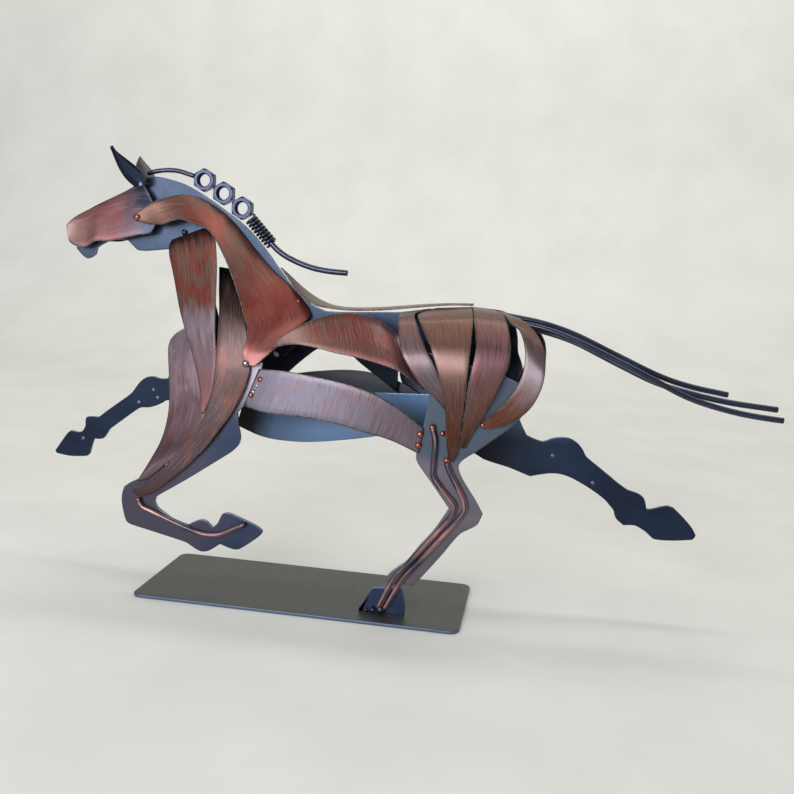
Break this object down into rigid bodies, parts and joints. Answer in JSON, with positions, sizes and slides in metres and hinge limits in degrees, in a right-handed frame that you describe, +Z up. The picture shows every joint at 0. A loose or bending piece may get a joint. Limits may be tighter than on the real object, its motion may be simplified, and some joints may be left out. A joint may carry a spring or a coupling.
{
  "type": "scrap metal horse sculpture",
  "caption": "Galloping horse welded from bent sheet strips, cut plates, rods, hex nuts and a coil spring, standing on one hind hoof on a flat base plate.",
  "frame": {"origin": "centre of the base plate's underside", "axes": "+X from the horse's head to its tail along the base's long side, +Y to the horse's right flank, +Z up"},
  "size_m": [0.4591, 0.085, 0.2688],
  "materials": {
    "base_black": "satin black lacquer",
    "navy_plate": "satin blue-black enamel",
    "dark_rod": "satin blue-black enamel",
    "copper_rod": "brushed copper and pink over dark enamel",
    "face_rose": "brushed rose and tan over blue enamel",
    "copper_strip": "brushed copper brown and red, clear lacquered",
    "plum_strip": "brushed mauve and silver, clear lacquered"
  },
  "bodies": {
    "root": {"base_plate": "base_black", "spine_plate": "navy_plate", "mane_front_rod": "dark_rod", "mane_nut_1": "dark_rod", "mane_nut_2": "dark_rod", "mane_nut_3": "dark_rod", "mane_spring": "dark_rod", "mane_rear_rod": "dark_rod", "saddle_strip": "copper_strip", "left_cheek_plate": "face_rose", "left_ear": "dark_rod", "left_neck_strip": "copper_strip", "left_throat_strip": "copper_strip", "left_chest_strip": "plum_strip", "left_shoulder_strip": "copper_strip", "left_flank_strip": "copper_strip", "left_belly_strip": "plum_strip", "left_haunch_strip_1": "copper_strip", "left_haunch_strip_2": "copper_strip", "left_haunch_strip_3": "copper_strip", "left_haunch_strip_4": "copper_strip", "right_cheek_plate": "face_rose", "right_ear": "dark_rod", "right_neck_strip": "copper_strip", "right_throat_strip": "copper_strip", "right_chest_strip": "plum_strip", "right_shoulder_strip": "copper_strip", "right_flank_strip": "copper_strip", "right_belly_strip": "plum_strip", "right_haunch_strip_1": "copper_strip", "right_haunch_strip_2": "copper_strip", "right_haunch_strip_3": "copper_strip", "right_haunch_strip_4": "copper_strip", "left_foreleg_plate": "navy_plate", "left_foreleg_rod": "copper_rod", "right_foreleg_plate": "navy_plate", "right_foreleg_rod": "copper_rod", "left_hindleg_plate": "navy_plate", "left_hind_hoof_plate": "navy_plate", "left_hindleg_front_rod": "copper_rod", "left_hindleg_rear_rod": "copper_rod", "right_hindleg_plate": "navy_plate", "right_hindleg_front_rod": "copper_rod", "right_hindleg_rear_rod": "copper_rod", "tail_rod_1": "dark_rod", "tail_rod_2": "dark_rod", "tail_rod_3": "dark_rod"}
  },
  "joints": []
}
